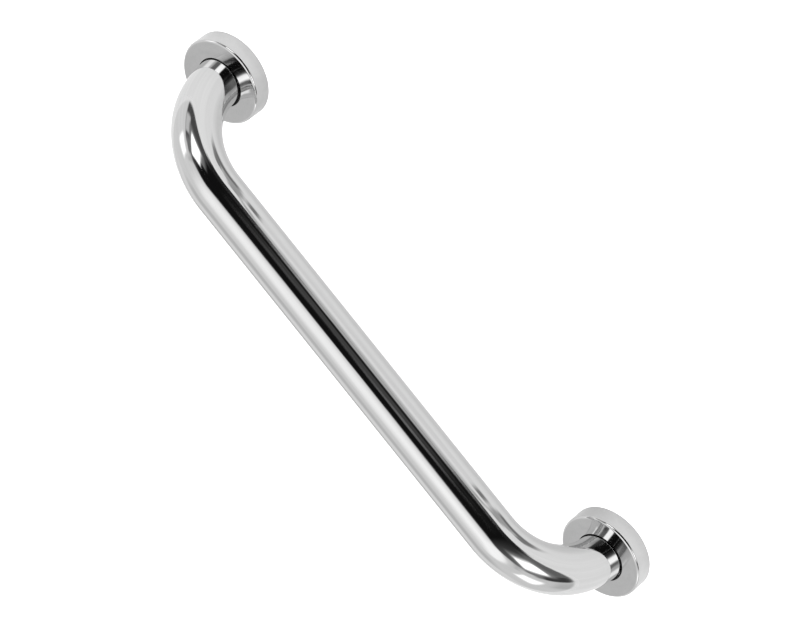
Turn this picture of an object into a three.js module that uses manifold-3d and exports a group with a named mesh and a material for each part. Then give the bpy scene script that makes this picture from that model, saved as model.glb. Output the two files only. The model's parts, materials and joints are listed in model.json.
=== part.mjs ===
// A stainless steel grab rail: one bent tube standing on two feet, each screwed down and hidden by a cover.
//
// Frame: millimetres. Z = 0 is the deck or bulkhead that the feet sit on, and +Z points away from it.
// The rail runs along X, and the origin is midway between its feet.
//
// From the deck upwards, a foot is a rubber gasket, a flange plate welded to the tube from behind, three
// pan-head screws on sealing washers, and a pressed cover that hides them. The cover is loose on the tube,
// with a narrow gap round it, and can be pushed up the leg and round the bend to reach the screws.
import * as THREE from 'three';
import { mergeVertices } from 'three/addons/utils/BufferGeometryUtils.js';
import Module from 'manifold-3d';

const wasm = await Module();
wasm.setup();

// ---- Driving dimensions ----
const TUBE_RADIUS = 12.7;
const TUBE_WALL = 1.2;
const FOOT_SPACING = 300; // from the axis of one leg to the axis of the other
const RAIL_HEIGHT = 53; // from the deck to the axis of the handhold
const BEND_RADIUS = 43.5; // measured to the tube's axis
const ASSEMBLY_GAP = 0.3; // left between pieces that touch

const COVER_RADIUS = 23.5;
const COVER_HEIGHT = 10;
const COVER_SHEET = 0.8;
const COVER_EDGE_RADIUS = 1.4; // outside radius of the pressed corner
const COVER_HOLE_RADIUS = 13.55; // leaves a gap of 0.85 round the tube
const COVER_LIFT = 0.2; // the rim stands this far clear of the deck

const GASKET_THICKNESS = 1;
const GASKET_HOLE_RADIUS = 10;
const PLATE_RADIUS = 21; // small enough for the cover to swing clear of it
const PLATE_THICKNESS = 2.5;
const PLATE_EDGE_CHAMFER = 0.4;
const WELD_BEVEL = 1.7; // leg of the bevel behind the plate that the weld fills

const SCREWS_PER_FOOT = 3;
const SCREW_CIRCLE_RADIUS = 17.2;
const SCREW_HOLE_RADIUS = 2.1;
const SCREW_LENGTH = 25; // under the head
const SCREW_CREST_RADIUS = 1.75;
const SCREW_ROOT_RADIUS = 1.3;
const SCREW_PITCH = 2.2;
const SCREW_POINT = 4; // length of the tapered tip
const HEAD_RADIUS = 3.5;
const HEAD_HEIGHT = 2.6;
const RECESS_WIDTH = 0.9;
const RECESS_SPAN = 3.8;
const RECESS_DEPTH = 1.5;
const WASHER_THICKNESS = 0.8;
const WASHER_HOLE_RADIUS = 2;

// ---- Heights in the stack, worked out from the sizes above ----
const plateBottom = GASKET_THICKNESS + ASSEMBLY_GAP;
const plateTop = plateBottom + PLATE_THICKNESS;
const washerBottom = plateTop + ASSEMBLY_GAP;
const headBottom = washerBottom + WASHER_THICKNESS + ASSEMBLY_GAP;
const coverCeiling = COVER_HEIGHT - COVER_SHEET;

// ---- Fineness of the facets ----
const TUBE_SIDES = 40;
const BEND_STEPS = 12;
const DISC_SIDES = 48;
const HOLE_SIDES = 20;
const SCREW_SIDES = 10;
const WASHER_SIDES = 20;
const CORNER_STEPS = 3;

// ---- Materials ----
const FINISHES = {
  polished_steel: { color: 0xd1d1d1, roughness: 0.06, metalness: 1 },
  brushed_steel: { color: 0xb4b6b8, roughness: 0.35, metalness: 1 },
  weld_steel: { color: 0xa39a8c, roughness: 0.45, metalness: 1 },
  black_rubber: { color: 0x17181a, roughness: 0.7, metalness: 0 },
};

// ---- Helpers ----

function piece(name, finish, geometry) {
  const mesh = new THREE.Mesh(geometry, new THREE.MeshStandardMaterial(FINISHES[finish]));
  mesh.name = name;
  return mesh;
}

const point = (radius, height) => new THREE.Vector2(radius, height);

// A solid of revolution about Z. The outline runs anticlockwise, with radius to the right and height up.
function revolve(outline, sides) {
  return new THREE.LatheGeometry(outline, sides).rotateX(Math.PI / 2);
}

// An outline that closes on itself, for a ring.
const closed = (outline) => [...outline, outline[0].clone()];

// The points of a round corner, from one angle to another, in degrees.
function corner(centreRadius, centreHeight, radius, fromDegrees, toDegrees, steps = CORNER_STEPS) {
  return Array.from({ length: steps + 1 }, (_, i) => {
    const angle = THREE.MathUtils.degToRad(fromDegrees + ((toDegrees - fromDegrees) * i) / steps);
    return point(centreRadius + radius * Math.cos(angle), centreHeight + radius * Math.sin(angle));
  });
}

function toSolid(geometry) {
  const bare = geometry.clone().deleteAttribute('normal').deleteAttribute('uv');
  const merged = mergeVertices(bare, 1e-4);
  return new wasm.Manifold(
    new wasm.Mesh({
      numProp: 3,
      vertProperties: merged.attributes.position.array,
      triVerts: new Uint32Array(merged.index.array),
    }),
  );
}

function toGeometry(solid) {
  const { vertProperties, triVerts } = solid.getMesh();
  const geometry = new THREE.BufferGeometry();
  geometry.setAttribute('position', new THREE.BufferAttribute(vertProperties, 3));
  geometry.setIndex(new THREE.BufferAttribute(triVerts, 1));
  geometry.computeVertexNormals();
  return geometry;
}

function cut(geometry, tools) {
  const remaining = tools.reduce((solid, tool) => solid.subtract(toSolid(tool)), toSolid(geometry));
  return toGeometry(remaining);
}

// The angles of a foot's screws about its leg. The first points away from the middle of the rail.
const screwAngles = Array.from({ length: SCREWS_PER_FOOT }, (_, i) => (2 * Math.PI * i) / SCREWS_PER_FOOT);

// Drills a foot's ring of screw holes through a disc that lies between two heights.
function drillScrewHoles(disc, bottom, top) {
  const length = 3 * (top - bottom); // it stands out on both sides of the disc
  const drills = screwAngles.map((angle) => {
    const drill = new THREE.CylinderGeometry(SCREW_HOLE_RADIUS, SCREW_HOLE_RADIUS, length, HOLE_SIDES);
    drill.rotateX(Math.PI / 2);
    drill.translate(
      SCREW_CIRCLE_RADIUS * Math.cos(angle),
      SCREW_CIRCLE_RADIUS * Math.sin(angle),
      (bottom + top) / 2,
    );
    return drill;
  });
  return cut(disc, drills);
}

// ---- The tube ----

// The rail's axis: a leg, a bend, the handhold, a bend and a leg. Each straight is one step long and each
// bend is BEND_STEPS, because the curve is walked by its parameter and not by its length.
class RailAxis extends THREE.Curve {
  static steps = 3 + 2 * BEND_STEPS;

  getUtoTmapping(u) {
    return u;
  }

  // A place on the left half of the rail, as a number of steps from its end.
  leftHalf(step) {
    const halfSpacing = FOOT_SPACING / 2;
    const bendBottom = RAIL_HEIGHT - BEND_RADIUS;
    if (step <= 1) {
      const height = plateBottom + (bendBottom - plateBottom) * step;
      return { x: -halfSpacing, z: height, angle: 0 };
    }
    if (step <= 1 + BEND_STEPS) {
      const angle = ((step - 1) / BEND_STEPS) * (Math.PI / 2);
      return {
        x: -halfSpacing + BEND_RADIUS * (1 - Math.cos(angle)),
        z: bendBottom + BEND_RADIUS * Math.sin(angle),
        angle,
      };
    }
    const shareOfHalf = (step - 1 - BEND_STEPS) * 2;
    return { x: (BEND_RADIUS - halfSpacing) * (1 - shareOfHalf), z: RAIL_HEIGHT, angle: Math.PI / 2 };
  }

  getPoint(t, target = new THREE.Vector3()) {
    const { x, z } = this.leftHalf(Math.min(t, 1 - t) * RailAxis.steps);
    return target.set(t <= 0.5 ? x : -x, 0, z);
  }

  getTangent(t, target = new THREE.Vector3()) {
    const { angle } = this.leftHalf(Math.min(t, 1 - t) * RailAxis.steps);
    return target.set(Math.sin(angle), 0, t <= 0.5 ? Math.cos(angle) : -Math.cos(angle));
  }
}

function ringSection(outerRadius, innerRadius) {
  const section = new THREE.Shape();
  section.absarc(0, 0, outerRadius, 0, 2 * Math.PI, false);
  const bore = new THREE.Path();
  bore.absarc(0, 0, innerRadius, 0, 2 * Math.PI, true);
  section.holes.push(bore);
  return section;
}

function railTube() {
  const geometry = new THREE.ExtrudeGeometry(ringSection(TUBE_RADIUS, TUBE_RADIUS - TUBE_WALL), {
    steps: RailAxis.steps,
    curveSegments: TUBE_SIDES / 2, // an arc is drawn with two segments for each
    extrudePath: new RailAxis(),
  });
  return piece('rail_tube', 'polished_steel', geometry);
}

// ---- The pieces of a foot, each about its own leg with the deck at Z = 0 ----

function baseGasket() {
  const disc = revolve(
    closed([
      point(GASKET_HOLE_RADIUS, 0),
      point(PLATE_RADIUS, 0),
      point(PLATE_RADIUS, GASKET_THICKNESS),
      point(GASKET_HOLE_RADIUS, GASKET_THICKNESS),
    ]),
    DISC_SIDES,
  );
  return drillScrewHoles(disc, 0, GASKET_THICKNESS);
}

function flangePlate() {
  const hole = TUBE_RADIUS + ASSEMBLY_GAP;
  const disc = revolve(
    closed([
      point(hole + WELD_BEVEL, plateBottom),
      point(PLATE_RADIUS, plateBottom),
      point(PLATE_RADIUS, plateTop - PLATE_EDGE_CHAMFER),
      point(PLATE_RADIUS - PLATE_EDGE_CHAMFER, plateTop),
      point(hole, plateTop),
      point(hole, plateBottom + WELD_BEVEL),
    ]),
    DISC_SIDES,
  );
  return drillScrewHoles(disc, plateBottom, plateTop);
}

// Fills the bevel behind the plate, flush with the plate's back.
function weldBead() {
  const inner = TUBE_RADIUS + ASSEMBLY_GAP;
  const leg = WELD_BEVEL - ASSEMBLY_GAP * Math.SQRT2;
  return revolve(
    closed([point(inner, plateBottom), point(inner + leg, plateBottom), point(inner, plateBottom + leg)]),
    DISC_SIDES,
  );
}

function cover() {
  const innerRadius = COVER_RADIUS - COVER_SHEET;
  const innerEdgeRadius = COVER_EDGE_RADIUS - COVER_SHEET;
  const edgeCentre = COVER_RADIUS - COVER_EDGE_RADIUS;
  const edgeHeight = COVER_HEIGHT - COVER_EDGE_RADIUS;
  return revolve(
    closed([
      point(COVER_HOLE_RADIUS, coverCeiling),
      ...corner(edgeCentre, edgeHeight, innerEdgeRadius, 90, 0),
      point(innerRadius, COVER_LIFT),
      point(COVER_RADIUS, COVER_LIFT),
      ...corner(edgeCentre, edgeHeight, COVER_EDGE_RADIUS, 0, 90),
      point(COVER_HOLE_RADIUS, COVER_HEIGHT),
    ]),
    DISC_SIDES,
  );
}

// Centred on its own axis, with the underside of the head at Z = 0.
function screw() {
  const threads = Math.floor((SCREW_LENGTH - SCREW_POINT) / SCREW_PITCH);
  const threadPoints = Array.from({ length: threads }, (_, i) => {
    const height = -SCREW_LENGTH + SCREW_POINT + i * SCREW_PITCH;
    return [point(SCREW_ROOT_RADIUS, height), point(SCREW_CREST_RADIUS, height + SCREW_PITCH / 2)];
  }).flat();
  const crownRadius = HEAD_HEIGHT / 2;
  const blank = revolve(
    [
      point(0, -SCREW_LENGTH),
      ...threadPoints,
      point(SCREW_ROOT_RADIUS, -SCREW_LENGTH + SCREW_POINT + threads * SCREW_PITCH),
      point(SCREW_ROOT_RADIUS, 0),
      point(HEAD_RADIUS, 0),
      ...corner(HEAD_RADIUS - crownRadius, HEAD_HEIGHT - crownRadius, crownRadius, 0, 90),
      point(0, HEAD_HEIGHT),
    ],
    SCREW_SIDES,
  );
  const slot = new THREE.BoxGeometry(RECESS_SPAN, RECESS_WIDTH, 2 * RECESS_DEPTH);
  slot.translate(0, 0, HEAD_HEIGHT);
  return cut(blank, [slot, slot.clone().rotateZ(Math.PI / 2)]);
}

function screwWasher() {
  return revolve(
    closed([
      point(WASHER_HOLE_RADIUS, 0),
      point(HEAD_RADIUS, 0),
      point(HEAD_RADIUS, WASHER_THICKNESS),
      point(WASHER_HOLE_RADIUS, WASHER_THICKNESS),
    ]),
    WASHER_SIDES,
  );
}

// ---- A foot: everything round the end of one leg, turned so that its +X points away from the middle ----

function foot(side, outward) {
  const group = new THREE.Group();
  group.position.x = outward * (FOOT_SPACING / 2);
  group.rotation.z = outward > 0 ? 0 : Math.PI;
  group.add(
    piece(`${side}_base_gasket`, 'black_rubber', baseGasket()),
    piece(`${side}_flange_plate`, 'brushed_steel', flangePlate()),
    piece(`${side}_weld_bead`, 'weld_steel', weldBead()),
    piece(`${side}_cover`, 'polished_steel', cover()),
  );
  screwAngles.forEach((angle, i) => {
    const x = SCREW_CIRCLE_RADIUS * Math.cos(angle);
    const y = SCREW_CIRCLE_RADIUS * Math.sin(angle);
    const fastener = piece(`${side}_screw_${i + 1}`, 'brushed_steel', screw());
    fastener.position.set(x, y, headBottom);
    const washer = piece(`${side}_screw_washer_${i + 1}`, 'black_rubber', screwWasher());
    washer.position.set(x, y, washerBottom);
    group.add(fastener, washer);
  });
  return group;
}

const grabRail = new THREE.Group();
grabRail.add(railTube(), foot('left', -1), foot('right', 1));

export default grabRail;
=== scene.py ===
# The looks of a polished stainless steel grab rail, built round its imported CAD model.
#
# Every length is in metres, in the model's own frame: the feet stand on Z = 0 and the rail runs along X.
# Places and sizes come from the boxes and joints of the CAD model wherever they can.
import json
import math

import bmesh
import bpy
from mathutils import Matrix, Vector


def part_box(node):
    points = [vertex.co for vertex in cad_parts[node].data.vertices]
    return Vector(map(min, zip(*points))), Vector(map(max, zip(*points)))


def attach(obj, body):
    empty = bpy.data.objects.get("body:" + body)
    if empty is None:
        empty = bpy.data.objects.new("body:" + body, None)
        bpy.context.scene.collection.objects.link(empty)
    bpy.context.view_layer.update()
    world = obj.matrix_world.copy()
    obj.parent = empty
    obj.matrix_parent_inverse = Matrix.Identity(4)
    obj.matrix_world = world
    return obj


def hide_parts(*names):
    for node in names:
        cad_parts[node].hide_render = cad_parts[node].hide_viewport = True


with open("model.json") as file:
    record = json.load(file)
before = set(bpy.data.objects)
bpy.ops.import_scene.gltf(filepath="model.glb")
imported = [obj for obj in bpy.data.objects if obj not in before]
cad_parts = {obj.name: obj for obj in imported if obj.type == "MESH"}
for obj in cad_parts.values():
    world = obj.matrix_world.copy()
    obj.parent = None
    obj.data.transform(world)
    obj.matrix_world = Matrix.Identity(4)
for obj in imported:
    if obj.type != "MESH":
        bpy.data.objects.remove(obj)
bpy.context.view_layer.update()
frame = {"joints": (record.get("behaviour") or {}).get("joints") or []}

MM = 0.001

# ---- Sizes that the CAD model's boxes don't give ----
TUBE_WALL = 1.2 * MM
LEG_LEAN = math.radians(7)  # the bends stop short of a right angle, and the legs lean in
COVER_SHEET = 0.8 * MM
COVER_EDGE_RADIUS = 1.4 * MM
COVER_GAP = 0.85 * MM  # between the tube and the edge of the cover's hole
SHEARED_EDGE = 0.15 * MM  # how far a sheared edge of the cover's sheet is rounded
GASKET_HOLE_RADIUS = 10 * MM
GASKET_EDGE = 0.25 * MM
PLATE_EDGE = 0.4 * MM
WELD_BEVEL = 1.7 * MM
WELD_CROWN = 0.25 * MM
SCREW_HOLE_RADIUS = 2.1 * MM
SHANK_RADIUS = 1.3 * MM
THREAD_CREST_RADIUS = 1.75 * MM
THREAD_PITCH = 2.2 * MM
THREAD_RIDGE = 2 / 3  # the share of the pitch that the ridge's foot takes up
THREAD_POINT = 4 * MM
POINT_BLUNTNESS = 0.02  # the radius of the tip, as a share of the shank's
RECESS_SPAN = 3.8 * MM
RECESS_WIDTH = 0.9 * MM
RECESS_DEPTH = 1.5 * MM
RECESS_TAPER = 0.45  # the share of its width that it loses from the top of the head to its bottom
HEAD_CHAMFER = 0.1  # round the head's underside, as a share of the head's height
HEAD_CROWN = 0.55  # the rounding of its top, likewise
SCREW_TURN = math.radians(37)  # from one screw's recess to the next
WASHER_EDGE = 0.2 * MM

# ---- Fineness of the meshes ----
TUBE_SIDES = 128
LEG_RINGS = 6
BEND_RINGS = 64
HANDHOLD_RINGS = 64
DISC_SIDES = 192
CORNER_STEPS = 8
SHARP_ANGLE = math.radians(35)  # a steeper edge than this is shaded as a crease
SCREW_SIDES = 32
HEAD_TOP_RINGS = (0.3, 0.01)  # shares of the head's radius
THREAD_STEPS = 12  # rings for each turn of the thread
WELD_RIPPLES = 46

SIDES = ("left", "right")
SCREWS = (1, 2, 3)
LOOSENESS = {"left": Vector((-0.5, 0.1, 0)) * MM, "right": Vector()}  # how far off its axis a cover rests


# ---- The rail, measured from the CAD model ----

def middle(node):
    """The middle of a CAD node's box."""
    low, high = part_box(node)
    return (low + high) / 2


tube_low, tube_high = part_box("rail_tube")
tube_radius = tube_high.y
rail_height = tube_high.z - tube_radius
joints = {joint["name"]: joint for joint in frame["joints"]}
bend_centres = {side: Vector(joints[f"{side}_cover_lift"]["pos_m"]) for side in SIDES}
leg_places = {side: middle(f"{side}_cover") for side in SIDES}
bend_radius = rail_height - bend_centres["left"].z


# ---- Mesh helpers ----

def add_piece(name, mesh, body, material, replaced):
    """Shows a mesh as one piece of the object, standing for one CAD node."""
    piece = bpy.data.objects.new(name, mesh)
    bpy.context.scene.collection.objects.link(piece)
    mesh.materials.append(material)
    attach(piece, body)
    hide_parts(replaced)
    return piece


def finish_mesh(name, vertices, faces, grain):
    """A closed, smooth-shaded mesh. The grain is each vertex's place in the pattern of its material."""
    mesh = bpy.data.meshes.new(name)
    mesh.from_pydata(vertices, [], faces)
    attribute = mesh.attributes.new("grain", "FLOAT_VECTOR", "POINT")
    attribute.data.foreach_set("vector", [value for place in grain for value in place])
    shell = bmesh.new()
    shell.from_mesh(mesh)
    bmesh.ops.recalc_face_normals(shell, faces=shell.faces)
    shell.to_mesh(mesh)
    shell.free()
    mesh.shade_smooth()
    mesh.set_sharp_from_angle(angle=SHARP_ANGLE)
    return mesh


def grid_faces(rows, columns, close_rows):
    """Quads over a grid whose columns close on themselves, and whose rows do too if asked."""
    strips = rows if close_rows else rows - 1
    return [
        (
            row * columns + column,
            row * columns + (column + 1) % columns,
            (row + 1) % rows * columns + (column + 1) % columns,
            (row + 1) % rows * columns + column,
        )
        for row in range(strips)
        for column in range(columns)
    ]


def angles(count):
    """Evenly spaced angles for one full turn."""
    return [math.tau * step / count for step in range(count)]


def rounded(corners):
    """A closed outline of (radius, height) points from its corners, each (radius, height, rounding)."""
    outline = []
    count = len(corners)
    for index, (radius, height, rounding) in enumerate(corners):
        tip = Vector((radius, height))
        if rounding == 0:
            outline.append(tip)
            continue
        back = (Vector(corners[index - 1][:2]) - tip).normalized()
        ahead = (Vector(corners[(index + 1) % count][:2]) - tip).normalized()
        half_angle = back.angle(ahead) / 2
        centre = tip + (back + ahead).normalized() * rounding / math.sin(half_angle)
        start = tip + back * rounding / math.tan(half_angle) - centre
        end = tip + ahead * rounding / math.tan(half_angle) - centre
        first = math.atan2(start.y, start.x)
        sweep = (math.atan2(end.y, end.x) - first + math.pi) % math.tau - math.pi
        for step in range(CORNER_STEPS + 1):
            angle = first + sweep * step / CORNER_STEPS
            outline.append(centre + rounding * Vector((math.cos(angle), math.sin(angle))))
    return outline


def revolve(name, outline, ripple=None):
    """A ring turned about Z from a closed outline. Its grain is (distance round the outline, x, y)."""
    vertices = []
    grain = []
    travelled = 0
    for row, place in enumerate(outline):
        travelled += (place - outline[row - 1]).length if row else 0
        for angle in angles(DISC_SIDES):
            x = place.x * math.cos(angle)
            y = place.x * math.sin(angle)
            vertices.append((x, y, place.y + (ripple(place, angle) if ripple else 0)))
            grain.append((travelled, x, y))
    return finish_mesh(name, vertices, grid_faces(len(outline), DISC_SIDES, True), grain)


def cut(mesh, cutters):
    """The mesh with the solids of the cutting objects taken out of it."""
    body = bpy.data.objects.new("cut_body", mesh)
    bpy.context.scene.collection.objects.link(body)
    for cutter in cutters:
        difference = body.modifiers.new("cut", "BOOLEAN")
        difference.operation = "DIFFERENCE"
        difference.solver = "EXACT"
        difference.object = cutter
    evaluated = body.evaluated_get(bpy.context.evaluated_depsgraph_get())
    result = bpy.data.meshes.new_from_object(evaluated)
    result.name = mesh.name
    for helper in [body, *cutters]:
        bpy.data.objects.remove(helper)
    result.set_sharp_from_angle(angle=SHARP_ANGLE)
    return result


def cutter_object(shell):
    """An object to cut with, from a bmesh."""
    mesh = bpy.data.meshes.new("cutter")
    shell.to_mesh(mesh)
    shell.free()
    cutter = bpy.data.objects.new("cutter", mesh)
    bpy.context.scene.collection.objects.link(cutter)
    return cutter


def drill(place, bottom, top):
    """A round bit at a screw's place, twice as long as the disc that it goes through is thick."""
    shell = bmesh.new()
    off_lines = Matrix.Rotation(math.pi / SCREW_SIDES, 4, "Z")  # no corner meets a line of the disc's mesh
    bmesh.ops.create_cone(
        shell,
        cap_ends=True,
        segments=SCREW_SIDES,
        radius1=SCREW_HOLE_RADIUS,
        radius2=SCREW_HOLE_RADIUS,
        depth=2 * (top - bottom),
        matrix=Matrix.Translation((place.x, place.y, (bottom + top) / 2)) @ off_lines,
    )
    return cutter_object(shell)


# ---- Shader helpers ----

def connect(tree, value, socket):
    """Sets a socket to a number, or links it to another socket."""
    if isinstance(value, bpy.types.NodeSocket):
        tree.links.new(value, socket)
    else:
        socket.default_value = value


def calculate(tree, operation, *values):
    node = tree.nodes.new("ShaderNodeMath")
    node.operation = operation
    for value, socket in zip(values, node.inputs):
        connect(tree, value, socket)
    return node.outputs[0]


def remap(tree, value, span, new_span, kind="LINEAR"):
    """Takes a value from one span to another, and holds it at their ends."""
    node = tree.nodes.new("ShaderNodeMapRange")
    node.interpolation_type = kind
    for number, socket in zip((value, *span, *new_span), node.inputs):
        connect(tree, number, socket)
    return node.outputs[0]


def noise(tree, place, scale, detail=2.0, roughness=0.5):
    node = tree.nodes.new("ShaderNodeTexNoise")
    tree.links.new(place, node.inputs["Vector"])
    node.inputs["Scale"].default_value = scale
    node.inputs["Detail"].default_value = detail
    node.inputs["Roughness"].default_value = roughness
    return node.outputs["Fac"]


def stretched(tree, place, scale):
    """A place with each of its directions scaled, so that a pattern over it stretches."""
    node = tree.nodes.new("ShaderNodeMapping")
    tree.links.new(place, node.inputs["Vector"])
    node.inputs["Scale"].default_value = scale
    return node.outputs["Vector"]


def bump(tree, height, distance, normal=None):
    node = tree.nodes.new("ShaderNodeBump")
    node.inputs["Distance"].default_value = distance
    tree.links.new(height, node.inputs["Height"])
    if normal is not None:
        tree.links.new(normal, node.inputs["Normal"])
    return node.outputs["Normal"]


def shades(tree, factor, stops):
    """A colour from a factor, by a ramp of (position, (red, green, blue)) stops."""
    ramp = tree.nodes.new("ShaderNodeValToRGB")
    elements = ramp.color_ramp.elements
    while len(elements) < len(stops):
        elements.new(0.5)
    for element, (position, colour) in zip(elements, stops):
        element.position = position
        element.color = (*colour, 1)
    tree.links.new(factor, ramp.inputs["Fac"])
    return ramp.outputs["Color"]


def new_material(name):
    """A material with its node tree, its Principled shader, and the grain place of its piece."""
    material = bpy.data.materials.new(name)
    material.use_nodes = True
    tree = material.node_tree
    grain = tree.nodes.new("ShaderNodeAttribute")
    grain.attribute_name = "grain"
    return material, tree, tree.nodes["Principled BSDF"], grain.outputs["Vector"]


# ---- Materials ----

# Each colour is a row of (place on the pattern, (red, green, blue)).
POLISHED_COLOURS = ((0.3, (0.615, 0.615, 0.615)), (0.7, (0.67, 0.67, 0.67)))
BRUSHED_COLOURS = ((0.3, (0.47, 0.475, 0.48)), (0.7, (0.6, 0.605, 0.61)))
HEAT_TINTS = (
    (0.3, (0.5, 0.49, 0.47)),
    (0.5, (0.52, 0.42, 0.26)),
    (0.62, (0.38, 0.24, 0.2)),
    (0.75, (0.22, 0.28, 0.42)),
)
RUBBER_COLOURS = ((0.45, (0.018, 0.018, 0.019)), (0.8, (0.05, 0.049, 0.047)))


def polished_steel(name, grain_stretch):
    """Mirror-polished stainless steel, with faint lines along the grain and a trace of waviness."""
    material, tree, shader, grain = new_material(name)
    along = stretched(tree, grain, grain_stretch)
    lines = noise(tree, along, scale=900, detail=4, roughness=0.6)
    bands = noise(tree, along, scale=400, detail=4, roughness=0.6)
    patches = noise(tree, grain, scale=60)
    waves = noise(tree, along, scale=90, detail=1)
    colour = shades(tree, bands, POLISHED_COLOURS)
    roughness = calculate(
        tree, "ADD",
        remap(tree, lines, (0.35, 0.75), (0.035, 0.075)),
        remap(tree, patches, (0.4, 0.7), (0.0, 0.02)),
    )
    shader.inputs["Metallic"].default_value = 1
    connect(tree, colour, shader.inputs["Base Color"])
    connect(tree, roughness, shader.inputs["Roughness"])
    waviness = bump(tree, waves, distance=0.02 * MM)
    connect(tree, bump(tree, lines, distance=0.009 * MM, normal=waviness), shader.inputs["Normal"])
    return material


def brushed_steel(name, grain_stretch):
    """Stamped or turned stainless steel with lines along the grain and small dull marks."""
    material, tree, shader, grain = new_material(name)
    along = stretched(tree, grain, grain_stretch)
    lines = noise(tree, along, scale=2500, detail=5, roughness=0.7)
    marks = noise(tree, grain, scale=700, detail=3)
    colour = shades(tree, lines, BRUSHED_COLOURS)
    roughness = calculate(
        tree, "ADD",
        remap(tree, lines, (0.3, 0.7), (0.24, 0.38)),
        remap(tree, marks, (0.55, 0.75), (0.0, 0.12)),
    )
    shader.inputs["Metallic"].default_value = 1
    connect(tree, colour, shader.inputs["Base Color"])
    connect(tree, roughness, shader.inputs["Roughness"])
    connect(tree, bump(tree, lines, distance=0.008 * MM), shader.inputs["Normal"])
    return material


def weld_steel():
    """Rippled weld metal, tinted straw, brown and blue by its heat."""
    material, tree, shader, grain = new_material("weld_metal")
    tint = noise(tree, grain, scale=350, detail=3)
    grains = noise(tree, grain, scale=4000, detail=3)
    shader.inputs["Metallic"].default_value = 1
    connect(tree, shades(tree, tint, HEAT_TINTS), shader.inputs["Base Color"])
    connect(tree, remap(tree, grains, (0.3, 0.7), (0.32, 0.5)), shader.inputs["Roughness"])
    connect(tree, bump(tree, grains, distance=0.01 * MM), shader.inputs["Normal"])
    return material


def black_rubber():
    """Moulded rubber: near black, dull, with a fine matt texture and a little dust."""
    material, tree, shader, grain = new_material("moulded_rubber")
    texture = noise(tree, grain, scale=5000, detail=3)
    dust = noise(tree, grain, scale=300, detail=4)
    shader.inputs["Specular IOR Level"].default_value = 0.4
    connect(tree, shades(tree, dust, RUBBER_COLOURS), shader.inputs["Base Color"])
    connect(tree, remap(tree, dust, (0.3, 0.7), (0.55, 0.75)), shader.inputs["Roughness"])
    connect(tree, bump(tree, texture, distance=0.03 * MM), shader.inputs["Normal"])
    return material


# How a pattern is scaled in each part of the grain: the smaller the number, the longer its lines there.
# The tube's grain is (inward, across, distance along), a turned piece's (distance round the outline, x, y).
ALONG_TUBE = (1, 1, 0.02)
ROUND_AXIS = (1, 0.02, 0.02)
BUFFED = (0.3, 0.3, 0.3)  # no lines, only patches
tube_finish = polished_steel("polished_tube", ALONG_TUBE)
cover_finish = polished_steel("polished_cover", BUFFED)
plate_finish = brushed_steel("brushed_plate", ROUND_AXIS)
screw_finish = brushed_steel("turned_screw", ROUND_AXIS)
weld_finish = weld_steel()
rubber_finish = black_rubber()


# ---- The tube ----

def tube_stations():
    """Places along the axis as (x, z, turned angle): a leg, a bend, the handhold, a bend, a leg."""
    centre = bend_centres["left"]

    def on_bend(angle):
        return centre.x - bend_radius * math.cos(angle), centre.z + bend_radius * math.sin(angle)

    start_x, start_z = on_bend(LEG_LEAN)
    half = []
    for ring in range(LEG_RINGS):
        drop = (start_z - tube_low.z) * (1 - ring / LEG_RINGS)
        turned = LEG_LEAN if ring else 0  # the end is cut level
        half.append((start_x - drop * math.tan(LEG_LEAN), start_z - drop, turned))
    for ring in range(BEND_RINGS + 1):
        angle = LEG_LEAN + (math.pi / 2 - LEG_LEAN) * ring / BEND_RINGS
        half.append((*on_bend(angle), angle))
    handhold = [
        (centre.x * (1 - 2 * ring / HANDHOLD_RINGS), rail_height, math.pi / 2)
        for ring in range(1, HANDHOLD_RINGS)
    ]
    other_half = [(-x, z, math.pi - turned) for x, z, turned in reversed(half)]
    return half + handhold + other_half


def tube_mesh():
    """The tube's outside and bore, joined at its ends."""
    stations = tube_stations()
    vertices = []
    grain = []
    for radius in (tube_radius, tube_radius - TUBE_WALL):
        along = 0
        for index, (x, z, turned) in enumerate(stations):
            previous = stations[max(index - 1, 0)]
            along += math.hypot(x - previous[0], z - previous[1])
            for angle in angles(TUBE_SIDES):
                inward = radius * math.cos(angle)
                across = radius * math.sin(angle)
                vertices.append((x + inward * math.cos(turned), across, z - inward * math.sin(turned)))
                grain.append((inward, across, along))
    count = len(stations)
    outside = grid_faces(count, TUBE_SIDES, False)
    bore_start = count * TUBE_SIDES
    bore = [tuple(bore_start + corner for corner in face) for face in outside]
    ends = []
    for row in (0, count - 1):
        for side in range(TUBE_SIDES):
            here = row * TUBE_SIDES + side
            after = row * TUBE_SIDES + (side + 1) % TUBE_SIDES
            ends.append((here, after, bore_start + after, bore_start + here))
    return finish_mesh("rail_tube_polished", vertices, outside + bore + ends, grain)


add_piece("polished_rail_tube", tube_mesh(), "rail", tube_finish, "rail_tube")


# ---- The pieces of a foot, each made about the leg's own axis and then moved to its leg ----

def cover_mesh(side):
    low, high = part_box(f"{side}_cover")
    radius = (high.y - low.y) / 2
    hole = tube_radius + COVER_GAP
    section = [
        (radius, low.z, SHEARED_EDGE),
        (radius, high.z, COVER_EDGE_RADIUS),
        (hole, high.z, SHEARED_EDGE),
        (hole, high.z - COVER_SHEET, SHEARED_EDGE),
        (radius - COVER_SHEET, high.z - COVER_SHEET, COVER_EDGE_RADIUS - COVER_SHEET),
        (radius - COVER_SHEET, low.z, SHEARED_EDGE),
    ]
    return revolve(f"{side}_cover_pressing", rounded(section))


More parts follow.
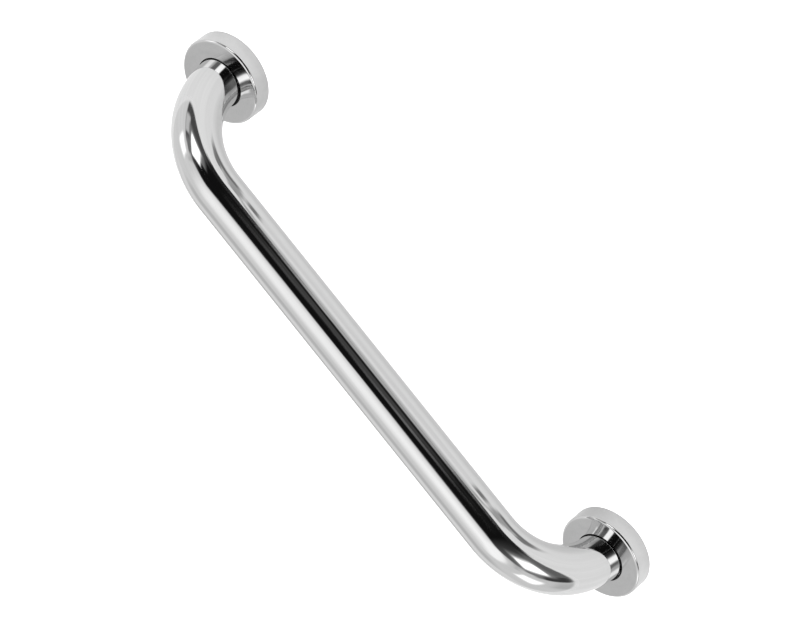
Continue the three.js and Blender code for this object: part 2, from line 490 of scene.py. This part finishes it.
def gasket_mesh(side, screw_places):
    low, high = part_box(f"{side}_base_gasket")
    radius = (high.y - low.y) / 2
    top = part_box(f"{side}_flange_plate")[0].z  # it fills the gap under the plate
    section = [
        (radius, low.z, GASKET_EDGE),
        (radius, top, GASKET_EDGE),
        (GASKET_HOLE_RADIUS, top, GASKET_EDGE),
        (GASKET_HOLE_RADIUS, low.z, GASKET_EDGE),
    ]
    disc = revolve(f"{side}_gasket_disc", rounded(section))
    return cut(disc, [drill(place, low.z, top) for place in screw_places])


def plate_mesh(side, screw_places):
    """A plate, bevelled for the weld. It reaches over the tube's wall, so a leaning leg shows no gap."""
    low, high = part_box(f"{side}_flange_plate")
    radius = (high.y - low.y) / 2
    bore = tube_radius - TUBE_WALL
    section = [
        (tube_radius + WELD_BEVEL, low.z, 0),
        (radius, low.z, PLATE_EDGE / 2),
        (radius, high.z, PLATE_EDGE),
        (bore, high.z, 0),
        (bore, low.z + WELD_BEVEL, 0),
        (tube_radius, low.z + WELD_BEVEL, 0),
    ]
    disc = revolve(f"{side}_plate_disc", rounded(section))
    return cut(disc, [drill(place, low.z, high.z) for place in screw_places])


def weld_mesh(side):
    """Fills the bevel behind the plate, with a ripple for each stroke of the weld."""
    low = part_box(f"{side}_weld_bead")[0]

    def ripple(place, angle):
        share_of_face = 1 - (place.y - low.z) / WELD_BEVEL
        return WELD_CROWN * share_of_face**4 * (0.5 + 0.5 * math.cos(WELD_RIPPLES * angle))

    section = [
        (tube_radius, low.z, WELD_CROWN),
        (tube_radius + WELD_BEVEL, low.z, WELD_CROWN),
        (tube_radius, low.z + WELD_BEVEL, WELD_CROWN),
    ]
    return revolve(f"{side}_weld_ring", rounded(section), ripple)


def washer_mesh(low, high, hole):
    radius = (high.x - low.x) / 2
    section = [
        (hole, 0, WASHER_EDGE),
        (radius, 0, WASHER_EDGE),
        (radius, high.z - low.z, WASHER_EDGE),
        (hole, high.z - low.z, WASHER_EDGE),
    ]
    return revolve("sealing_washer", rounded(section))


def thread_radius(angle, below_head, length):
    """The radius of a screw's shank at an angle and a depth: a helical ridge, tapering to a point."""
    turn = (below_head / THREAD_PITCH + angle / math.tau) % 1
    ridge = max(0, 1 - abs(turn - 0.5) / (THREAD_RIDGE / 2))
    grip = min(1, below_head / THREAD_PITCH)
    taper = min(1, (length - below_head) / THREAD_POINT)
    radius = SHANK_RADIUS + grip * ridge * (THREAD_CREST_RADIUS - SHANK_RADIUS)
    return radius * max(taper, POINT_BLUNTNESS)


def screw_mesh(head_radius, head_height, length):
    """A pan-head screw about Z with the underside of its head at Z = 0, point down."""
    chamfer = HEAD_CHAMFER * head_height
    crown = HEAD_CROWN * head_height
    head = [(head_radius - chamfer, 0), (head_radius, chamfer)]
    for step in range(CORNER_STEPS + 1):
        angle = math.pi / 2 * step / CORNER_STEPS
        radius = head_radius - crown * (1 - math.cos(angle))
        head.append((radius, head_height - crown * (1 - math.sin(angle))))
    head += [(head_radius * share, head_height) for share in HEAD_TOP_RINGS]
    rows = math.ceil(length / THREAD_PITCH * THREAD_STEPS)
    vertices = []
    for row in range(rows, -1, -1):
        depth = length * row / rows
        for angle in angles(SCREW_SIDES):
            radius = thread_radius(angle, depth, length)
            vertices.append((radius * math.cos(angle), radius * math.sin(angle), -depth))
    for radius, height in head:
        for angle in angles(SCREW_SIDES):
            vertices.append((radius * math.cos(angle), radius * math.sin(angle), height))
    # Radius plus height stands in for the distance round the outline.
    grain = [(math.hypot(x, y) + z, x, y) for x, y, z in vertices]
    rings = len(vertices) // SCREW_SIDES
    point = tuple(range(SCREW_SIDES))
    top = tuple(range((rings - 1) * SCREW_SIDES, rings * SCREW_SIDES))
    faces = grid_faces(rings, SCREW_SIDES, False) + [point, top]
    blank = finish_mesh("pan_head_screw", vertices, faces, grain)
    return cut(blank, [recess_cutter(head_height)])


def recess_cutter(head_height):
    """A cross whose arms narrow as they go down, standing over the top of a screw's head."""
    shell = bmesh.new()
    half_span = RECESS_SPAN / 2
    half_width = RECESS_WIDTH / 2
    outline = []
    for quarter in range(4):
        turn = Matrix.Rotation(quarter * math.pi / 2, 2)
        for corner in ((half_span, -half_width), (half_span, half_width), (half_width, half_width)):
            outline.append(turn @ Vector(corner))
    rims = []
    for way in (-1, 1):
        height = head_height + way * RECESS_DEPTH
        share = 1 + way * RECESS_TAPER
        rims.append([shell.verts.new((*(corner * share), height)) for corner in outline])
    bottom, top = rims
    count = len(outline)
    for i in range(count):
        shell.faces.new((bottom[i], bottom[(i + 1) % count], top[(i + 1) % count], top[i]))
    shell.faces.new(bottom)
    shell.faces.new(top)
    bmesh.ops.recalc_face_normals(shell, faces=shell.faces)
    return cutter_object(shell)


def add_base(side, on_leg):
    """The gasket, the plate and its weld."""
    leg = leg_places[side]
    screw_places = [middle(f"{side}_screw_washer_{number}") - leg for number in SCREWS]
    pieces = (
        ("gasket", gasket_mesh(side, screw_places), "black_rubber", rubber_finish, "base_gasket"),
        ("flange", plate_mesh(side, screw_places), "brushed_steel", plate_finish, "flange_plate"),
        ("weld", weld_mesh(side), "weld_steel", weld_finish, "weld_bead"),
    )
    for name, mesh, slot, material, node in pieces:
        mesh.transform(on_leg)
        add_piece(f"{side}_{name}", mesh, "rail", material, f"{side}_{node}")


def add_screw(side, number, screw, washer):
    """A copy of the screw, turned further for each number, and of the washer under its head."""
    node = f"{side}_screw_washer_{number}"
    place = middle(node)
    low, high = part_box(node)
    fitted_washer = washer.copy()
    fitted_washer.transform(Matrix.Translation((place.x, place.y, low.z)))
    add_piece(
        f"{side}_rubber_washer_{number}", fitted_washer, "rail", rubber_finish, node
    )
    fitted_screw = screw.copy()
    turned = Matrix.Rotation(number * SCREW_TURN, 4, "Z")
    fitted_screw.transform(Matrix.Translation((place.x, place.y, high.z)) @ turned)
    add_piece(
        f"{side}_pan_screw_{number}", fitted_screw, "rail",
        screw_finish, f"{side}_screw_{number}",
    )


def add_cover(side, on_leg):
    node = f"{side}_cover"
    cover = cover_mesh(side)
    cover.transform(Matrix.Translation(LOOSENESS[side]) @ on_leg)
    piece = add_piece(f"{side}_pressed_cover", cover, node, cover_finish, node)
    piece.modifiers.new("flat_faces_stay_flat", "WEIGHTED_NORMAL").keep_sharp = True


screw_low, screw_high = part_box("left_screw_1")
washer_low, washer_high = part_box("left_screw_washer_1")
head_radius = (washer_high.x - washer_low.x) / 2
head_height = screw_high.z - washer_high.z
shared_screw = screw_mesh(head_radius, head_height, washer_high.z - screw_low.z)
shared_washer = washer_mesh(washer_low, washer_high, SCREW_HOLE_RADIUS)
for foot in SIDES:
    to_leg = Matrix.Translation((leg_places[foot].x, leg_places[foot].y, 0))
    add_base(foot, to_leg)
    for screw_number in SCREWS:
        add_screw(foot, screw_number, shared_screw, shared_washer)
    add_cover(foot, to_leg)


# ---- Helpers for patches of light and shade ----

def soft_step(tree, value, edge, softness):
    """Rises smoothly from 0 to 1 as the value crosses an edge."""
    low = calculate(tree, "SUBTRACT", edge, softness / 2)
    high = calculate(tree, "ADD", edge, softness / 2)
    return remap(tree, value, (low, high), (0.0, 1.0), "SMOOTHSTEP")


def below(tree, value, edge, softness):
    """Falls smoothly from 1 to 0 as the value crosses an edge."""
    return calculate(tree, "SUBTRACT", 1.0, soft_step(tree, value, edge, softness))


def between(tree, value, edges, softness):
    """1 between two edges and 0 outside them."""
    low, high = edges
    return calculate(
        tree, "SUBTRACT", soft_step(tree, value, low, softness), soft_step(tree, value, high, softness)
    )


def blend(tree, base, change, share):
    """The base brightness where share is 0, and the other one where it is 1."""
    step = calculate(tree, "MULTIPLY", calculate(tree, "SUBTRACT", change, base), share)
    return calculate(tree, "ADD", base, step)


def add_panel(tree, light, across, up, panel):
    """The brightness with a soft-edged rectangle of another brightness in front of it."""
    across_span, up_span, (across_softness, up_softness), brightness = panel
    share = calculate(
        tree, "MULTIPLY",
        between(tree, across, across_span, across_softness),
        between(tree, up, up_span, up_softness),
    )
    return blend(tree, light, brightness, share)


# ---- Studio: a sheet of white paper on the floor of a white tent that is open on the camera's side ----

PAPER_HALF_WIDTH = 0.65
PAPER_ALBEDO = 0.6
PAPER_GLOW = 0.56  # light that comes through the paper from below, which keeps its shadows faint
PAPER_LIFT = 0.8  # brings the paper to plain white for the camera, but not in the steel's reflections

# Painted shade on the paper, alike on both sides: distances from the middle along X, places along Y, the
# softness of the edges across X and across Y, and how much of the paper's brightness is left.
PAPER_PAINTED_SHADE = (
    ((-1, 0.14), (-0.025, 2), (0.03, 0.03), 0.87),  # painted shadow under the rail
    ((-1, 0.13), (0.03, 2), (0.03, 0.04), 0.62),  # painted shadow behind it
    ((-1, 0.1), (-0.125, -0.06), (0.04, 0.03), 0.9),
    ((-1, 0.1), (-2, -0.25), (0.01, 0.2), 0.64),  # towards the camera
    # Painted dark marks that the ends of the handhold mirror, as painted shade in their reflections:
    ((0.103, 0.127), (-0.08, -0.052), (0.009, 0.014), 0.22),
    ((0.119, 0.13), (-0.108, -0.065), (0.007, 0.016), 0.26),
    ((0.087, 0.097), (-0.125, -0.07), (0.007, 0.016), 0.26),
    ((0.1, 0.118), (-0.12, -0.075), (0.006, 0.014), 0.46),
    ((0.102, 0.114), (-0.2, -0.11), (0.008, 0.05), 0.42),
    ((0.094, 0.105), (-2, -0.2), (0.008, 0.05), 0.5),
)


def white_paper():
    """Matt paper with painted shadows and painted dark marks, that glows a little with the light behind it.
    """
    material = bpy.data.materials.new("white_paper")
    material.use_nodes = True
    tree = material.node_tree
    shader = tree.nodes["Principled BSDF"]
    shader.inputs["Roughness"].default_value = 1
    shader.inputs["Specular IOR Level"].default_value = 0
    shader.inputs["Emission Color"].default_value = (1, 1, 1, 1)
    place = tree.nodes.new("ShaderNodeSeparateXYZ")
    tree.links.new(tree.nodes.new("ShaderNodeTexCoord").outputs["Object"], place.inputs[0])
    aside = calculate(tree, "ABSOLUTE", place.outputs["X"])
    # What is left of the paper's brightness under the painted shadows and dark marks; it dims both colour
    # and glow.
    left_after_painted_shade = 1.0
    for shade in PAPER_PAINTED_SHADE:
        left_after_painted_shade = add_panel(tree, left_after_painted_shade, aside, place.outputs["Y"], shade)
    own_glow = calculate(tree, "MULTIPLY", left_after_painted_shade, PAPER_GLOW)
    seen_directly = tree.nodes.new("ShaderNodeLightPath").outputs["Is Camera Ray"]
    glow = calculate(tree, "MULTIPLY_ADD", seen_directly, PAPER_LIFT, own_glow)
    connect(tree, calculate(tree, "MULTIPLY", left_after_painted_shade, PAPER_ALBEDO), shader.inputs["Base Color"])
    connect(tree, glow, shader.inputs["Emission Strength"])
    return material


def build_floor():
    shell = bmesh.new()
    bmesh.ops.create_grid(shell, x_segments=8, y_segments=8, size=PAPER_HALF_WIDTH)
    mesh = bpy.data.meshes.new("floor")
    shell.to_mesh(mesh)
    shell.free()
    mesh.materials.append(white_paper())
    floor = bpy.data.objects.new("floor", mesh)
    bpy.context.scene.collection.objects.link(floor)


PLAIN_WHITE = (1.2, 1.2, 1.2, 1)  # what the camera itself sees past the paper

# Directions are in degrees. Azimuth 0 is towards -Y, and it grows towards +X. Elevation 0 is level.
WALL = 0.87
WALL_TILT = 0.05  # how much brighter the +X wall is
CEILING = 1.28
CEILING_EDGE = (70.0, 34.0)  # elevation and softness
FLOOR = 1.1
FLOOR_EDGE = (-0.3, 3.0)
OPENING_TOP = (64.8, 41.5)  # straight ahead, and at its sides
OPENING_TOP_FALL = (25.0, 90.0)  # how far aside its top begins and ends to come down
OPENING_TOP_SOFTNESS = 7.0
OPENING_SIDE = (78.0, 6.0)  # azimuth and softness
DARKNESS = 0.008  # in the middle of the opening
LEFT_GLOW = 0.2  # what it rises to on the left, between these azimuths
LEFT_GLOW_RISE = (-8.0, -60.0)
RIGHT_GLOW = 0.09  # and on the right
RIGHT_GLOW_RISE = (40.0, 60.0)

# Each panel of the tent, or thing seen through its opening: azimuths, elevations, the softness of its
# upright and level edges, and its brightness. A later one stands in front of an earlier one.
TENT_PANELS = (
    ((-150, -25), (62, 120), (50, 8), 1.38),  # overhead on the left
    ((-112, -84), (-30, 14), (12, 10), 0.64),  # foot of the left wall
)
PANELS_IN_OPENING = (
    ((-3.5, 3.5), (62.3, 70), (4, 6), 1.0),  # edge of the ceiling, hanging lower at its middle
    ((-80, -60), (2, 25), (6, 6), 0.06),  # door on the left
    ((-80, -62), (26, 41), (8, 8), 0.27),  # pale wall over the door
    ((-90, -64), (41.5, 53), (6, 6), 0.65),  # and higher
    ((-58, -20), (-30, 14), (10, 5), 0.17),  # bench on the left
    ((16, 60), (-30, 13), (10, 5), 0.09),  # bench on the right
    ((58, 77), (8.5, 24), (5, 4), 0.72),  # white board on the right
    ((60, 78), (28, 43), (6, 8), 0.24),  # wall over the board
    ((65, 90), (42.5, 51), (7, 5), 0.62),  # and higher
    ((-1.8, 1.6), (16, 34), (0.8, 6), 0.075),  # camera stand
    ((-2.1, -0.6), (30, 39), (0.6, 3), 0.2),  # its arm on the left
    ((1.0, 2.0), (27, 38), (0.6, 4), 0.1),  # and on the right
    ((-66, -26), (12, 45), (12, 8), 0.3),  # spill round the left soft box
    ((22, 62), (13, 32), (8, 6), 0.25),  # spill round the right soft box
)
OPENING_BULGE = ((74.5, 100), (33, 48), (5, 8), 0.85)  # on both sides the tent bulges into the opening
BEFORE_STAND = (
    ((-17, 15), (-5.3, 10), (9, 5), 0.02),  # shade on the floor
    ((-1.95, 1.2), (-12, 6.5), (0.5, 4), 0.54),  # foot of the stand
)
BACK_DIP = ((155, 400), (28, 47), (20, 10), 0.68)  # on both sides of straight behind
WALL_BEHIND = ((150, 400), (6, 24), (12, 8), 0.98)  # likewise
FLOOR_BEHIND = ((163, 400), (-40, -0.5), (16, 1), 0.65)
SOFT_BOXES = (
    ((-60, -34), (17, 40.8), (13, 5), 2.2),
    ((-124, -97), (24, 43.5), (12, 5), 1.75),
    ((89, 114), (26, 43.5), (12, 5), 1.75),
)
LEANING_SOFT_BOX = ((32, 55.5), (17.8, 41.2), (7, 5), 2.2)
LEAN = 0.3  # degrees of azimuth for each degree of elevation
LEAN_FROM = 30.0  # the elevation at which its azimuths hold


def tent_light(tree):
    """The brightness of the surroundings in each direction."""
    direction = tree.nodes.new("ShaderNodeTexCoord").outputs["Generated"]
    parts = tree.nodes.new("ShaderNodeSeparateXYZ")
    tree.links.new(direction, parts.inputs[0])
    x, y, z = parts.outputs
    turn = calculate(tree, "ARCTAN2", x, calculate(tree, "MULTIPLY", y, -1.0))
    azimuth = calculate(tree, "DEGREES", turn)
    elevation = calculate(tree, "DEGREES", calculate(tree, "ARCSINE", z))
    aside = calculate(tree, "ABSOLUTE", azimuth)

    light = calculate(tree, "MULTIPLY_ADD", x, WALL_TILT, WALL)
    light = blend(tree, light, CEILING, soft_step(tree, elevation, *CEILING_EDGE))
    for panel in TENT_PANELS:
        light = add_panel(tree, light, azimuth, elevation, panel)
    for panel in (BACK_DIP, WALL_BEHIND):
        light = add_panel(tree, light, aside, elevation, panel)

    top = remap(tree, aside, OPENING_TOP_FALL, OPENING_TOP, "SMOOTHSTEP")
    opening = calculate(
        tree, "MULTIPLY",
        below(tree, elevation, top, OPENING_TOP_SOFTNESS),
        below(tree, aside, *OPENING_SIDE),
    )
    room = calculate(
        tree, "MAXIMUM",
        remap(tree, azimuth, LEFT_GLOW_RISE, (DARKNESS, LEFT_GLOW)),
        remap(tree, azimuth, RIGHT_GLOW_RISE, (DARKNESS, RIGHT_GLOW)),
    )
    light = blend(tree, light, room, opening)
    for panel in PANELS_IN_OPENING:
        light = add_panel(tree, light, azimuth, elevation, panel)
    light = add_panel(tree, light, aside, elevation, OPENING_BULGE)
    for panel in SOFT_BOXES:
        light = add_panel(tree, light, azimuth, elevation, panel)
    above = calculate(tree, "SUBTRACT", elevation, LEAN_FROM)
    upright = calculate(tree, "MULTIPLY_ADD", above, -LEAN, azimuth)
    light = add_panel(tree, light, upright, elevation, LEANING_SOFT_BOX)
    light = blend(tree, light, FLOOR, below(tree, elevation, *FLOOR_EDGE))
    light = add_panel(tree, light, aside, elevation, FLOOR_BEHIND)
    for panel in BEFORE_STAND:
        light = add_panel(tree, light, azimuth, elevation, panel)
    return light


def build_tent():
    """The world: the tent for the steel and the paper, and plain white for the camera."""
    world = bpy.data.worlds.new("tent")
    bpy.context.scene.world = world
    world.use_nodes = True
    tree = world.node_tree
    surroundings = tree.nodes["Background"]
    tree.links.new(tent_light(tree), surroundings.inputs["Color"])
    plain = tree.nodes.new("ShaderNodeBackground")
    plain.inputs["Color"].default_value = PLAIN_WHITE
    chooser = tree.nodes.new("ShaderNodeMixShader")
    tree.links.new(tree.nodes.new("ShaderNodeLightPath").outputs["Is Camera Ray"], chooser.inputs["Fac"])
    tree.links.new(surroundings.outputs[0], chooser.inputs[1])
    tree.links.new(plain.outputs[0], chooser.inputs[2])
    tree.links.new(chooser.outputs[0], tree.nodes["World Output"].inputs["Surface"])


build_floor()
build_tent()


# ---- Camera ----

CAMERA_AIM = Vector((0.0027, 0.0072, 0.009))
CAMERA_DISTANCE = 2.475
CAMERA_AZIMUTH = math.radians(0.2)
CAMERA_ELEVATION = math.radians(38.64)
CAMERA_ROLL = math.radians(-128.81)
CAMERA_LENS = 225
CAMERA_SENSOR = 36


def build_camera():
    lens = bpy.data.cameras.new("camera")
    lens.lens = CAMERA_LENS
    lens.sensor_width = CAMERA_SENSOR
    camera = bpy.data.objects.new("camera", lens)
    camera.matrix_world = (
        Matrix.Translation(CAMERA_AIM)
        @ Matrix.Rotation(CAMERA_AZIMUTH, 4, "Z")
        @ Matrix.Rotation(math.pi / 2 - CAMERA_ELEVATION, 4, "X")
        @ Matrix.Rotation(CAMERA_ROLL, 4, "Z")
        @ Matrix.Translation((0, 0, CAMERA_DISTANCE))
    )
    bpy.context.scene.collection.objects.link(camera)
    bpy.context.scene.camera = camera


build_camera()
bpy.context.scene.view_settings.view_transform = "Standard"
